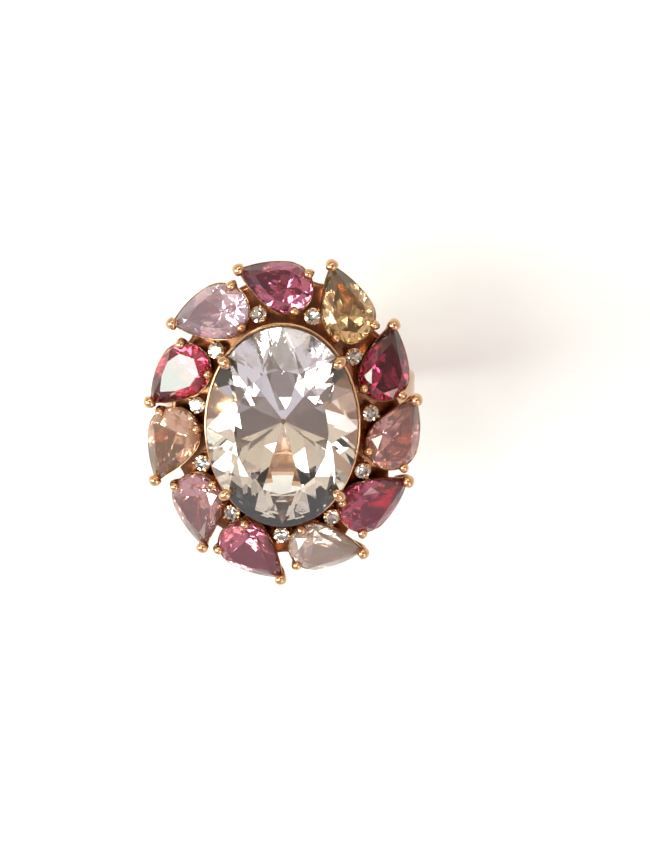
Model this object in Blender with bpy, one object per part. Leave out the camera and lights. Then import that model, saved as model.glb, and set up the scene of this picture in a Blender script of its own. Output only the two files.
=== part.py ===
"""Rose-gold cocktail ring: an oval centre stone inside a pinwheel of eleven pear stones.

Frame: +Z up through the centre stone's table, Y along the finger, origin at the middle of
the small flat under the shank. Shapes are worked out in millimetres and stored in metres.
"""

import math

import bmesh
import bpy
from mathutils import Matrix, Vector

MM = 0.001

# Shank: US size 7
FINGER_RADIUS = 8.65
FINGER_HEIGHT = 10.45
BAND_RADIUS = 10.65
BAND_HALF_WIDTH = 1.30
SHOULDER_WIDENING = 1.75
BAND_EDGE_ROUND = 0.30
BAND_TOP = 20.20
SHOULDER_ANGLE = 25.0
SHOULDER_REACH = 7.30
WINDOW_RADIUS = 9.75
WINDOW_TOP = 19.30

# Centre stone: oval of about 16 x 12 mm, measured as half-axes
CENTRE_HALF = (5.87, 7.87)
CENTRE_GIRDLE_Z = 27.00
CENTRE_CROWN = 1.70
CENTRE_PAVILION = 5.75
CENTRE_GIRDLE = 0.26
CENTRE_TABLE = 0.62
CENTRE_CROWN_MAINS = 16
CENTRE_PAVILION_MAINS = 8
CENTRE_HALF_REACH = 0.60

# Basket of the centre stone
BASKET_TOP_Z = 26.74
BASKET_WAIST_Z = 25.00
BASKET_BOTTOM_Z = 22.40
BASKET_RIM = 0.12
BASKET_WAIST = -0.16
BASKET_FOOT = -1.90
BASKET_WALL_TOP = 0.30
BASKET_WALL_BOTTOM = 0.45
CENTRE_PRONG_ANGLE = 41.4
CENTRE_BEAD = 0.46

# Halo of pear stones: nominally 6 x 4 mm, each cut and set by hand
PEARS = 11
HALO_HALF = (8.85, 11.08)
HALO_GIRDLE_Z = 24.30
HALO_TILT = 12.0
HALO_START = 93.3
PINWHEEL_TURN = 62.0
PEAR_FLANK_START = 75.0
PEAR_CROWN = 0.72
PEAR_PAVILION = 1.70
PEAR_GIRDLE = 0.16
PEAR_TABLE = 0.66
PEAR_HALF_REACH = 0.72
PEAR_COLLET = ((0.945, -0.33), (0.995, -0.62), (0.820, -1.90), (0.640, -1.90), (0.800, -0.33))
PEAR_TIP_BEAD = 0.44
PEAR_BEAD = 0.37
PEAR_BEAD_ANGLE = 128.0

# Melee: 1.25 mm round brilliants
MELEE_HALF = (6.90, 9.06)
MELEE_CENTRE_Y = -0.24
MELEE_SHIFT = -4.5
MELEE_RADIUS = 0.62
MELEE_CROWN = 0.22
MELEE_PAVILION = 0.55
MELEE_GIRDLE = 0.08
MELEE_TABLE = 0.56
MELEE_TUBE_DEPTH = 1.40
MELEE_LIFT = 0.10
MELEE_BEAD = 0.16

# Plate and gallery
PLATE_DROP = 2.02
PLATE_THICKNESS = 0.55
PLATE_REACH = 1.05
PLATE_INSET = 1.12
GALLERY_HALF = (6.60, 8.40)
GALLERY_Z = 20.65
GALLERY_RADIUS = 0.42
STRUT_RADIUS = 0.32
STRUT_TOP_HALF = (8.00, 10.20)

SEAT_CLEARANCE = 1.02
CROWN_STAR_DROP = 0.52
WELD = 0.0005
SLIVER = 0.002

# Clockwise from the top: material, length, width, extra turn in degrees, push outwards,
# push anticlockwise along the halo, and linear colour
STONES = (
    ("rhodolite", 5.95, 4.00, 4.0, -0.12, 0.14, (0.258, 0.036, 0.091)),
    ("champagne_topaz", 6.20, 4.10, -4.0, 0.02, 0.05, (0.381, 0.215, 0.091)),
    ("garnet", 6.00, 3.95, -2.0, 0.06, 0.02, (0.105, 0.009, 0.021)),
    ("peach_tourmaline", 6.00, 4.10, 5.0, 0.18, 0.03, (0.462, 0.231, 0.184)),
    ("raspberry_tourmaline", 6.00, 4.05, 0.0, 0.02, 0.00, (0.231, 0.040, 0.060)),
    ("smoky_rose_quartz", 5.85, 3.95, -5.0, 0.00, 0.16, (0.451, 0.296, 0.246)),
    ("rose_tourmaline", 6.00, 4.05, 4.0, 0.02, -0.12, (0.342, 0.090, 0.117)),
    ("mauve_tourmaline", 5.95, 4.00, 0.0, 0.02, 0.00, (0.352, 0.195, 0.178)),
    ("peach_morganite", 6.10, 4.15, -2.0, 0.28, 0.00, (0.491, 0.262, 0.195)),
    ("rubellite", 5.80, 4.10, -2.0, -0.04, 0.22, (0.342, 0.023, 0.060)),
    ("pink_morganite", 6.10, 4.30, -2.0, 0.02, 0.22, (0.584, 0.376, 0.462)),
)

for old in list(bpy.data.objects):
    bpy.data.objects.remove(old, do_unlink=True)


# ---------------------------------------------------------------- helpers
def make_material(name, colour, roughness, metallic):
    """One Principled surface per real material."""
    material = bpy.data.materials.new(name)
    material.use_nodes = True
    shader = material.node_tree.nodes["Principled BSDF"]
    shader.inputs["Base Color"].default_value = (*colour, 1.0)
    shader.inputs["Roughness"].default_value = roughness
    shader.inputs["Metallic"].default_value = metallic
    material.diffuse_color = (*colour, 1.0)
    return material


def face_outwards(bm):
    """Turn all faces of a closed body outwards."""
    bmesh.ops.recalc_face_normals(bm, faces=bm.faces)
    if bm.calc_volume(signed=True) < 0.0:
        bmesh.ops.reverse_faces(bm, faces=bm.faces)


def make_mesh(name, bm, material, smooth_angle=None):
    """Weld and orient a body modelled in millimetres, and store it as a mesh in metres."""
    bmesh.ops.remove_doubles(bm, verts=bm.verts, dist=WELD)
    face_outwards(bm)
    mesh = bpy.data.meshes.new(name)
    bm.to_mesh(mesh)
    bm.free()
    mesh.transform(Matrix.Scale(MM, 4))
    mesh.materials.append(material)
    if smooth_angle is None:
        mesh.shade_flat()
    else:
        mesh.shade_smooth()
        mesh.set_sharp_from_angle(angle=math.radians(smooth_angle))
    return mesh


def place(name, mesh, matrix=None):
    """Put a mesh in the scene under its own name, at a pose given in millimetres."""
    body = bpy.data.objects.new(name, mesh)
    if matrix is not None:
        pose = matrix.copy()
        pose.translation = matrix.translation * MM
        body.matrix_world = pose
    bpy.context.scene.collection.objects.link(body)
    return body


def ellipse_point(half, degrees):
    """Point and outward normal of an ellipse at a parameter angle."""
    angle = math.radians(degrees)
    point = Vector((half[0] * math.cos(angle), half[1] * math.sin(angle), 0.0))
    normal = Vector((math.cos(angle) / half[0], math.sin(angle) / half[1], 0.0)).normalized()
    return point, normal


def ellipse_loop(half, z, count):
    """Closed loop of points on an ellipse at one height."""
    steps = (360.0 * i / count for i in range(count))
    return [ellipse_point(half, step)[0] + Vector((0.0, 0.0, z)) for step in steps]


def loft(bm, loops, closed):
    """Skin a row of loops; a closed row joins its last loop to its first, an open one is capped."""
    rows = [[bm.verts.new(point) for point in points] for points in loops]
    pairs = list(zip(rows[:-1], rows[1:]))
    if closed:
        pairs.append((rows[-1], rows[0]))
    for lower, upper in pairs:
        for i in range(len(lower)):
            bm.faces.new((lower[i - 1], lower[i], upper[i], upper[i - 1]))
    if not closed:
        bm.faces.new(rows[0])
        bm.faces.new(rows[-1])


def rod(bm, stations, segments):
    """Round bar through (centre, radius) stations, every section lying level."""
    loops = []
    for centre, radius in stations:
        turns = (2.0 * math.pi * i / segments for i in range(segments))
        ring = [centre + Vector((radius * math.cos(t), radius * math.sin(t), 0.0)) for t in turns]
        loops.append(ring)
    loft(bm, loops, closed=False)


def combine(target, other, operation):
    """Exact boolean between two bodies in millimetres, returned as a new bmesh."""
    meshes = []
    bodies = []
    for bm in (target, other):
        face_outwards(bm)
        mesh = bpy.data.meshes.new("work")
        bm.to_mesh(mesh)
        bm.free()
        body = bpy.data.objects.new("work", mesh)
        bpy.context.scene.collection.objects.link(body)
        meshes.append(mesh)
        bodies.append(body)
    bodies[1].hide_render = True
    bodies[1].display_type = "WIRE"
    cut = bodies[0].modifiers.new("cut", "BOOLEAN")
    cut.operation = operation
    cut.solver = "EXACT"
    cut.object = bodies[1]
    bpy.context.view_layer.update()
    depsgraph = bpy.context.evaluated_depsgraph_get()
    outcome = bpy.data.meshes.new_from_object(bodies[0].evaluated_get(depsgraph))
    result = bmesh.new()
    result.from_mesh(outcome)
    bmesh.ops.remove_doubles(result, verts=result.verts, dist=SLIVER)
    bmesh.ops.dissolve_degenerate(result, edges=result.edges, dist=SLIVER)
    for body in bodies:
        bpy.data.objects.remove(body, do_unlink=True)
    for mesh in (*meshes, outcome):
        bpy.data.meshes.remove(mesh)
    return result


# ---------------------------------------------------------------- faceted stones
def cut_facet(bm, first, second, third):
    """Grind one flat facet through three points, keeping the side that holds the middle."""
    normal = (second - first).cross(third - first).normalized()
    if normal.dot(bm_centre(bm) - first) > 0.0:
        normal.negate()
    geometry = bm.verts[:] + bm.edges[:] + bm.faces[:]
    cut = bmesh.ops.bisect_plane(
        bm, geom=geometry, dist=0.001, plane_co=first, plane_no=normal, clear_outer=True
    )
    rim = [item for item in cut["geom_cut"] if isinstance(item, bmesh.types.BMEdge)]
    open_rim = [edge for edge in rim if edge.is_boundary]
    if open_rim:
        bmesh.ops.edgeloop_fill(bm, edges=open_rim)


def bm_centre(bm):
    """Mean of the corners, always inside a convex stone."""
    total = Vector()
    for vert in bm.verts:
        total += vert.co
    return total / len(bm.verts)


def meet(planes, height):
    """Plan position where two sloping facets meet at a height."""
    (p1, n1), (p2, n2) = planes
    r1 = n1.dot(p1) - n1.z * height
    r2 = n2.dot(p2) - n2.z * height
    det = n1.x * n2.y - n1.y * n2.x
    return Vector(((r1 * n2.y - r2 * n1.y) / det, (n1.x * r2 - n2.x * r1) / det, height))


def brilliant(outline, crown_marks, pavilion_marks, depths, table, reach=None):
    """Brilliant cut on any convex outline about the origin.

    outline holds the girdle corners. Each list of marks holds (point, normal) pairs on it:
    even ones where a main facet touches, odd ones midway between. depths are the crown, the
    pavilion and the girdle. The rough is a prism that loses mains and halves on both sides
    and stars round the table. The pavilion halves meet at reach, a share of its depth; a
    stone without a reach has mains only.
    """
    crown, pavilion, girdle = depths
    bm = bmesh.new()
    ends = [[p + Vector((0, 0, z)) for p in outline] for z in (-girdle / 2 - pavilion, girdle / 2 + crown)]
    loft(bm, ends, closed=False)
    up = Vector((0.0, 0.0, 1.0))
    for side, depth, inner, marks in ((1.0, crown, table, crown_marks), (-1.0, pavilion, 0.03, pavilion_marks)):
        mains = len(marks) // 2
        edge_z = side * girdle / 2
        flat_z = side * (girdle / 2 + depth)
        planes = []
        for point, normal in marks[::2]:
            run = normal.dot(point) * (1.0 - inner)
            slope = Vector((normal.x * depth, normal.y * depth, side * run)).normalized()
            low = point + up * edge_z
            planes.append((low, slope))
            along = Vector((-normal.y, normal.x, 0.0))
            cut_facet(bm, low, low + along, point * inner + up * flat_z)
        if reach is None:
            continue
        tip_z = edge_z + side * depth * (CROWN_STAR_DROP if side > 0 else reach)
        for k in range(mains):
            here, middle, after = (marks[(2 * k + step) % len(marks)][0] for step in range(3))
            tip = meet((planes[k], planes[(k + 1) % mains]), tip_z)
            if side > 0:
                cut_facet(bm, here * inner + up * flat_z, after * inner + up * flat_z, tip)
            cut_facet(bm, here + up * edge_z, middle + up * edge_z, tip)
            cut_facet(bm, after + up * edge_z, middle + up * edge_z, tip)
    return bm


def pear_curve(length, width):
    """Pear outline about the centre of its round end, tip towards +X, as (point, normal)."""
    head = width / 2
    reach = length - head
    start = math.radians(PEAR_FLANK_START)
    flank = (reach**2 + head**2 - 2 * reach * head * math.cos(start)) / (2 * (head - reach * math.cos(start)))
    centre = Vector(((head - flank) * math.cos(start), (head - flank) * math.sin(start), 0.0))
    tip_turn = math.atan2(-centre.y, reach - centre.x)
    flank_length = flank * (start - tip_turn)
    head_length = head * (math.pi - start)
    half = flank_length + head_length

    def at(fraction):
        """Point and normal at a fraction of the way round from the tip."""
        travel = 2.0 * half * (fraction % 1.0)
        mirrored = travel > half
        travel = 2.0 * half - travel if mirrored else travel
        if travel < 1e-6:
            return Vector((reach, 0.0, 0.0)), Vector((1.0, 0.0, 0.0))
        if travel < flank_length:
            turn = tip_turn + travel / flank
            normal = Vector((math.cos(turn), math.sin(turn), 0.0))
            point = centre + normal * flank
        else:
            turn = start + (travel - flank_length) / head
            normal = Vector((math.cos(turn), math.sin(turn), 0.0))
            point = normal * head
        if mirrored:
            point = Vector((point.x, -point.y, 0.0))
            normal = Vector((normal.x, -normal.y, 0.0))
        return point, normal

    return at


# ---------------------------------------------------------------- materials
gold = make_material("rose_gold", (0.434, 0.144, 0.042), 0.16, 1.0)
centre_gem = make_material("centre_quartz", (0.62, 0.58, 0.55), 0.03, 0.0)
melee_gem = make_material("diamond", (0.78, 0.78, 0.74), 0.02, 0.0)
pear_gems = [make_material(stone[0], stone[-1], 0.03, 0.0) for stone in STONES]


# ---------------------------------------------------------------- shank
def shank_outline():
    """Side view of the shank, counter-clockwise from the right end of the bottom flat."""
    flat = math.degrees(math.acos(FINGER_HEIGHT / BAND_RADIUS))
    turns = [math.radians(-90.0 + flat + (SHOULDER_ANGLE + 90.0 - flat) * i / 30) for i in range(31)]
    right = [(BAND_RADIUS * math.cos(t), FINGER_HEIGHT + BAND_RADIUS * math.sin(t)) for t in turns]
    right[0] = (right[0][0], 0.0)
    start = Vector(right[-1])
    heading = Vector((-math.sin(turns[-1]), math.cos(turns[-1])))
    end = Vector((SHOULDER_REACH, BAND_TOP))
    pulls = (start, start + 2.2 * heading, end + Vector((0.25, -1.7)), end)
    for i in range(1, 9):
        s = i / 8
        weights = ((1 - s) ** 3, 3 * s * (1 - s) ** 2, 3 * s**2 * (1 - s), s**3)
        spot = sum((w * p for w, p in zip(weights, pulls)), Vector((0.0, 0.0)))
        right.append((spot.x, spot.y))
    return right + [(-x, z) for x, z in reversed(right)]


def shank_window(side):
    """Pierced three-cornered opening under one end of the top bar."""
    low = math.radians(37.0)
    high = math.asin((WINDOW_TOP - FINGER_HEIGHT) / WINDOW_RADIUS)
    turns = [low + (high - low) * i / 10 for i in range(11)]
    loop = [(WINDOW_RADIUS * math.cos(t), FINGER_HEIGHT + WINDOW_RADIUS * math.sin(t)) for t in turns]
    loop.append((SHOULDER_REACH - 0.95, WINDOW_TOP))
    return [(side * x, z) for x, z in loop]


def make_shank():
    """Band as a filled side view with three kinds of hole, given width and rounded edges."""
    curve = bpy.data.curves.new("work", "CURVE")
    curve.dimensions = "2D"
    curve.fill_mode = "BOTH"
    curve.extrude = BAND_HALF_WIDTH - BAND_EDGE_ROUND
    curve.bevel_depth = BAND_EDGE_ROUND
    curve.bevel_resolution = 1
    curve.offset = -BAND_EDGE_ROUND
    turns = [2.0 * math.pi * i / 96 for i in range(96)]
    hole = [(FINGER_RADIUS * math.cos(t), FINGER_HEIGHT + FINGER_RADIUS * math.sin(t)) for t in turns]
    for loop in (shank_outline(), hole, shank_window(1.0), shank_window(-1.0)):
        spline = curve.splines.new("POLY")
        spline.points.add(len(loop) - 1)
        for spot, (x, z) in zip(spline.points, loop):
            spot.co = (x, z, 0.0, 1.0)
        spline.use_cyclic_u = True
    holder = bpy.data.objects.new("work", curve)
    bpy.context.scene.collection.objects.link(holder)
    bpy.context.view_layer.update()
    mesh = bpy.data.meshes.new_from_object(holder.evaluated_get(bpy.context.evaluated_depsgraph_get()))
    bm = bmesh.new()
    bm.from_mesh(mesh)
    bpy.data.objects.remove(holder, do_unlink=True)
    bpy.data.curves.remove(curve)
    bpy.data.meshes.remove(mesh)
    bmesh.ops.rotate(bm, verts=bm.verts, matrix=Matrix.Rotation(math.radians(90.0), 3, "X"))
    for vert in bm.verts:
        rise = min(1.0, max(0.0, (vert.co.z - 3.0) / (BAND_TOP - 5.0)))
        vert.co.y *= 1.0 + (SHOULDER_WIDENING - 1.0) * rise * rise * (3.0 - 2.0 * rise)
    bmesh.ops.remove_doubles(bm, verts=bm.verts, dist=WELD)
    return make_mesh("shank", bm, gold, 40.0)


place("shank", make_shank())


# ---------------------------------------------------------------- cluster layout
def halo_angles():
    """Parameter angles that space the pears equally along the halo ellipse, clockwise."""
    steps = 3600
    points = [ellipse_point(HALO_HALF, HALO_START - 360.0 * i / steps)[0] for i in range(steps + 1)]
    lengths = [0.0]
    for before, after in zip(points[:-1], points[1:]):
        lengths.append(lengths[-1] + (after - before).length)
    angles = []
    index = 0
    for i in range(PEARS):
        while lengths[index] < lengths[-1] * i / PEARS:
            index += 1
        angles.append(HALO_START - 360.0 * index / steps)
    return angles


def leaning_pose(point, normal, z, heading):
    """Pose on the domed cluster: leaned outwards, then turned to a heading in plan."""
    lean = Matrix.Rotation(math.radians(HALO_TILT), 4, Vector((0.0, 0.0, 1.0)).cross(normal))
    turn = Matrix.Rotation(heading, 4, "Z")
    return Matrix.Translation(Vector((point.x, point.y, z))) @ lean @ turn


ANGLES = halo_angles()
SLOPE = math.tan(math.radians(HALO_TILT))


def plate_height(reach):
    """Top of the halo plate at a distance outwards from the pears' own ellipse."""
    return HALO_GIRDLE_Z - PLATE_DROP / math.cos(math.radians(HALO_TILT)) - reach * SLOPE


# ---------------------------------------------------------------- centre stone and basket
def centre_cut():
    """Oval brilliant about its own girdle centre."""
    counts = (2 * CENTRE_CROWN_MAINS, 2 * CENTRE_PAVILION_MAINS)
    crown, pavilion = ([ellipse_point(CENTRE_HALF, 360.0 * i / n) for i in range(n)] for n in counts)
    outline = ellipse_loop(CENTRE_HALF, 0.0, 96)
    depths = (CENTRE_CROWN, CENTRE_PAVILION, CENTRE_GIRDLE)
    return brilliant(outline, crown, pavilion, depths, CENTRE_TABLE, CENTRE_HALF_REACH)


def grown(half, amount):
    """Half-axes of an ellipse set out by an amount."""
    return (half[0] + amount, half[1] + amount)


def make_basket():
    """Tapered collet with four prongs, seat bored to the stone."""
    rows = (
        (BASKET_RIM, BASKET_TOP_Z),
        (BASKET_WAIST, BASKET_WAIST_Z),
        (BASKET_FOOT, BASKET_BOTTOM_Z),
        (BASKET_FOOT - BASKET_WALL_BOTTOM, BASKET_BOTTOM_Z),
        (BASKET_WAIST - BASKET_WALL_BOTTOM, BASKET_WAIST_Z),
        (BASKET_RIM - BASKET_WALL_TOP, BASKET_TOP_Z),
    )
    loops = [ellipse_loop(grown(CENTRE_HALF, offset), z, 56) for offset, z in rows]
    wall = bmesh.new()
    loft(wall, loops, closed=True)
    prongs = bmesh.new()
    for angle in (CENTRE_PRONG_ANGLE, 180 - CENTRE_PRONG_ANGLE, 180 + CENTRE_PRONG_ANGLE, -CENTRE_PRONG_ANGLE):
        point, normal = ellipse_point(CENTRE_HALF, angle)
        stations = [
            (point - normal * 1.28 + Vector((0, 0, 23.2)), 0.34),
            (point - normal * 0.12 + Vector((0, 0, 25.2)), 0.36),
            (point + normal * 0.22 + Vector((0, 0, 27.0)), 0.36),
        ]
        top = point + normal * 0.06 + Vector((0, 0, CENTRE_GIRDLE_Z + 0.42))
        stations += bead_stations(top, CENTRE_BEAD, 0.42)
        rod(prongs, stations, 12)
    body = combine(wall, prongs, "UNION")
    seat = centre_cut()
    bmesh.ops.scale(seat, vec=Vector((1.008, 1.008, SEAT_CLEARANCE)), verts=seat.verts)
    bmesh.ops.translate(seat, vec=Vector((0, 0, CENTRE_GIRDLE_Z)), verts=seat.verts)
    return make_mesh("centre_basket", combine(body, seat, "DIFFERENCE"), gold, 35.0)


def bead_stations(centre, radius, height):
    """Stations that close a bar with a rounded bead."""
    rows = []
    for lift in (-38.0, -2.0, 34.0, 66.0):
        turn = math.radians(lift)
        rows.append((centre + Vector((0, 0, height * math.sin(turn))), radius * math.cos(turn)))
    return rows


stone = centre_cut()
bmesh.ops.translate(stone, vec=Vector((0, 0, CENTRE_GIRDLE_Z)), verts=stone.verts)
place("centre_stone", make_mesh("centre_stone", stone, centre_gem))
place("centre_basket", make_basket())


# ---------------------------------------------------------------- halo plate
PLATE_INNER = grown(CENTRE_HALF, BASKET_WAIST - PLATE_INSET)
PLATE_OUTER = grown(HALO_HALF, PLATE_REACH)
PLATE_TOP_INNER = plate_height(PLATE_INNER[0] - HALO_HALF[0])
PLATE_TOP_OUTER = plate_height(PLATE_REACH)


def plate_top(spot):
    """Height of the plate's sloping top under a point, by halving between its two edges."""
    low, high = 0.0, 1.0
    for _ in range(24):
        share = (low + high) / 2
        half = [a + (b - a) * share for a, b in zip(PLATE_INNER, PLATE_OUTER)]
        if (spot.x / half[0]) ** 2 + (spot.y / half[1]) ** 2 > 1.0:
            low = share
        else:
            high = share
    return PLATE_TOP_INNER + (PLATE_TOP_OUTER - PLATE_TOP_INNER) * low


def make_plate():
    """Sloping oval ring that closes the space between basket and pears."""
    trim = 0.12
    trimmed = grown(PLATE_OUTER, -trim)
    loops = [
        ellipse_loop(PLATE_INNER, PLATE_TOP_INNER, 72),
        ellipse_loop(trimmed, PLATE_TOP_OUTER + trim * SLOPE, 72),
        ellipse_loop(PLATE_OUTER, PLATE_TOP_OUTER - trim, 72),
        ellipse_loop(PLATE_OUTER, PLATE_TOP_OUTER - PLATE_THICKNESS + trim, 72),
        ellipse_loop(trimmed, PLATE_TOP_OUTER - PLATE_THICKNESS + trim * SLOPE, 72),
        ellipse_loop(PLATE_INNER, PLATE_TOP_INNER - PLATE_THICKNESS, 72),
    ]
    bm = bmesh.new()
    loft(bm, loops, closed=True)
    return make_mesh("halo_plate", bm, gold, 35.0)


place("halo_plate", make_plate())


# ---------------------------------------------------------------- gallery
def make_gallery():
    """Lower oval rail with one rising strut under every pear."""
    rail = bmesh.new()
    turns = [2.0 * math.pi * (i + 0.37) / 10 for i in range(10)]
    loops = []
    for t in turns:
        half = grown(GALLERY_HALF, GALLERY_RADIUS * math.cos(t))
        loops.append(ellipse_loop(half, GALLERY_Z + GALLERY_RADIUS * math.sin(t), 66))
    loft(rail, loops, closed=True)
    struts = bmesh.new()
    end_z = plate_height(STRUT_TOP_HALF[0] - HALO_HALF[0]) - PLATE_THICKNESS - 0.13
    for angle in ANGLES:
        foot = ellipse_point(GALLERY_HALF, angle)[0] + Vector((0, 0, GALLERY_Z - 0.03))
        head = ellipse_point(STRUT_TOP_HALF, angle)[0] + Vector((0, 0, end_z))
        rod(struts, [(foot, STRUT_RADIUS), (head, STRUT_RADIUS * 1.15)], 11)
    return make_mesh("gallery", combine(rail, struts, "UNION"), gold, 40.0)


place("gallery", make_gallery())


# ---------------------------------------------------------------- pears and their settings
def pear_cut(at):
    """Pear brilliant about the centre of its round end."""
    marks = [at(i / 16) for i in range(16)]
    outline = [at(i / 32)[0] for i in range(32)]
    depths = (PEAR_CROWN, PEAR_PAVILION, PEAR_GIRDLE)
    return brilliant(outline, marks, marks, depths, PEAR_TABLE, PEAR_HALF_REACH)


def pear_setting(at, head):
    """Pear-shaped collet with a prong at the tip and two on the round end."""
    loops = [[at(i / 26)[0] * scale + Vector((0, 0, z)) for i in range(26)] for scale, z in PEAR_COLLET]
    wall = bmesh.new()
    loft(wall, loops, closed=True)
    prongs = bmesh.new()
    side = math.radians(PEAR_BEAD_ANGLE)
    left = Vector((math.cos(side), math.sin(side), 0.0))
    right = Vector((math.cos(side), -math.sin(side), 0.0))
    anchors = ((*at(0.0), PEAR_TIP_BEAD), (left * head, left, PEAR_BEAD), (right * head, right, PEAR_BEAD))
    for point, normal, radius in anchors:
        stations = [
            (point * 0.83 + Vector((0, 0, -1.75)), 0.24),
            (point * 0.97 + normal * 0.04 + Vector((0, 0, -0.45)), 0.27),
            (point + normal * 0.18 + Vector((0, 0, -0.02)), 0.28),
        ]
        stations += bead_stations(point + normal * 0.08 + Vector((0, 0, 0.30)), radius, 0.36)
        rod(prongs, stations, 9)
    seat = pear_cut(at)
    bmesh.ops.scale(seat, vec=Vector((SEAT_CLEARANCE, SEAT_CLEARANCE, 1.03)), verts=seat.verts)
    return combine(combine(wall, prongs, "UNION"), seat, "DIFFERENCE")


for number, (angle, stone, gem) in enumerate(zip(ANGLES, STONES, pear_gems), start=1):
    length, width, turn, outwards, along = stone[1:6]
    at = pear_curve(length, width)
    point, normal = ellipse_point(HALO_HALF, angle)
    point = point + outwards * normal + along * Vector((-normal.y, normal.x, 0.0))
    heading = math.atan2(normal.y, normal.x) + math.radians(PINWHEEL_TURN + turn)
    pose = leaning_pose(point, normal, HALO_GIRDLE_Z - outwards * SLOPE, heading)
    centring = Vector(((width - length) / 2, 0.0, 0.0))
    for name, body, material, smooth in (
        (f"pear_stone_{number:02d}", pear_cut(at), gem, None),
        (f"pear_setting_{number:02d}", pear_setting(at, width / 2), gold, 38.0),
    ):
        bmesh.ops.translate(body, vec=centring, verts=body.verts)
        place(name, make_mesh(name, body, material, smooth), pose)


# ---------------------------------------------------------------- melee and tube settings
def melee_cut():
    """Small round brilliant, mains only."""
    half = (MELEE_RADIUS, MELEE_RADIUS)
    marks = [ellipse_point(half, 22.5 * i) for i in range(16)]
    outline = ellipse_loop(half, 0.0, 16)
    return brilliant(outline, marks, marks, (MELEE_CROWN, MELEE_PAVILION, MELEE_GIRDLE), MELEE_TABLE)


def make_melee_setting():
    """Short tube with a bevelled seat and three beads."""
    half = MELEE_RADIUS
    rows = ((half + 0.03, -0.10), (half + 0.03, -MELEE_TUBE_DEPTH), (0.40, -MELEE_TUBE_DEPTH), (half - 0.15, -0.10))
    tube = bmesh.new()
    loft(tube, [ellipse_loop((radius, radius), z, 15) for radius, z in rows], closed=True)
    beads = bmesh.new()
    for angle in (90.0, 210.0, 330.0):
        point, normal = ellipse_point((half, half), angle)
        spot = point + normal * 0.02
        stations = [(spot + Vector((0, 0, -0.40)), 0.12), (spot + Vector((0, 0, -0.06)), 0.13)]
        for lift in (0.0, 50.0):
            rise = math.radians(lift)
            stations.append((spot + Vector((0, 0, 0.08 + 0.13 * math.sin(rise))), MELEE_BEAD * math.cos(rise)))
        rod(beads, stations, 7)
    body = combine(tube, beads, "UNION")
    seat = melee_cut()
    bmesh.ops.scale(seat, vec=Vector((1.03, 1.03, 1.05)), verts=seat.verts)
    return make_mesh("melee_setting", combine(body, seat, "DIFFERENCE"), gold, 38.0)


melee_setting = make_melee_setting()
melee_stone = make_mesh("melee_stone", melee_cut(), melee_gem)
for number, (angle, after) in enumerate(zip(ANGLES, ANGLES[1:] + [ANGLES[0] - 360.0]), start=1):
    point, normal = ellipse_point(MELEE_HALF, (angle + after) / 2 + MELEE_SHIFT)
    point.y += MELEE_CENTRE_Y
    height = plate_top(point) + MELEE_TUBE_DEPTH * math.cos(math.radians(HALO_TILT)) + MELEE_LIFT
    pose = leaning_pose(point, normal, height, math.atan2(normal.y, normal.x))
    place(f"melee_setting_{number:02d}", melee_setting, pose)
    place(f"melee_stone_{number:02d}", melee_stone, pose)
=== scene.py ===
# %% [markdown]
# # A rose-gold cocktail ring, from exact solids to a finished piece
#
# The ring was first drawn as 49 exact solids: a band, a gallery, a plate, a basket, and a
# stone and a setting for every place in the cluster. Those solids fix where everything is
# and how large it is. This file gives them the look of the real thing, in the order a bench
# jeweller would think about it: first the stones, then the metal that holds them, then the
# small studio where the ring is seen from above.

# %% Load the solids
import math

import bpy
import numpy as np
from mathutils import Euler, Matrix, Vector


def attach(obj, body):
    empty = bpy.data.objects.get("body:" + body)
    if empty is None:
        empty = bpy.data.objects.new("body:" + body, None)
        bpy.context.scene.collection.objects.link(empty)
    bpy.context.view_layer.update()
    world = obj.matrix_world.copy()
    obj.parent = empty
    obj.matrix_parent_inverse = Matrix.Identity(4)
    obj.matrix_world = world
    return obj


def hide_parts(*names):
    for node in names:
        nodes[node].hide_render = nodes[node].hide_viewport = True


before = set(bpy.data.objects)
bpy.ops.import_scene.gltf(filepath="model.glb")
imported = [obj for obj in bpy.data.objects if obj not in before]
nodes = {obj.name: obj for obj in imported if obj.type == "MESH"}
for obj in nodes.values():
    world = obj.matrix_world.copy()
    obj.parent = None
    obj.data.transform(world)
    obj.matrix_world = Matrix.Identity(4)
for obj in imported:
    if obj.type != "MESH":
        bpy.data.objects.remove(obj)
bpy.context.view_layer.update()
PEARS = sorted(name for name in nodes if name.startswith("pear_stone"))
MELEE = sorted(name for name in nodes if name.startswith("melee_stone"))

# %% [markdown]
# ## Colours and shader nodes
#
# Every finish below is one Principled shader with a few nodes in front of it. Colours are
# written as sRGB codes, because that is how an eye picks them, and one function turns them
# into the linear values that a shader works with. A second function adds any kind of node
# with its settings and links, so that a material reads as a short list of steps.

# %% Colours and nodes
MM = 0.001


def colour(code):
    """Linear colour of an sRGB code such as '#b06a3a'."""
    values = np.array([int(code[i:i + 2], 16) / 255 for i in (1, 3, 5)])
    linear = np.where(values <= 0.04045, values / 12.92, ((values + 0.055) / 1.055) ** 2.4)
    return tuple(linear) + (1.0,)


def add(tree, kind, settings=None, inputs=None, links=None):
    """Add a shader node: its own settings, values on its inputs, and links into its inputs."""
    node = tree.nodes.new(kind)
    for key, value in (settings or {}).items():
        setattr(node, key, value)
    for key, value in (inputs or {}).items():
        node.inputs[key].default_value = value
    for key, socket in (links or {}).items():
        tree.links.new(socket, node.inputs[key])
    return node


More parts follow.
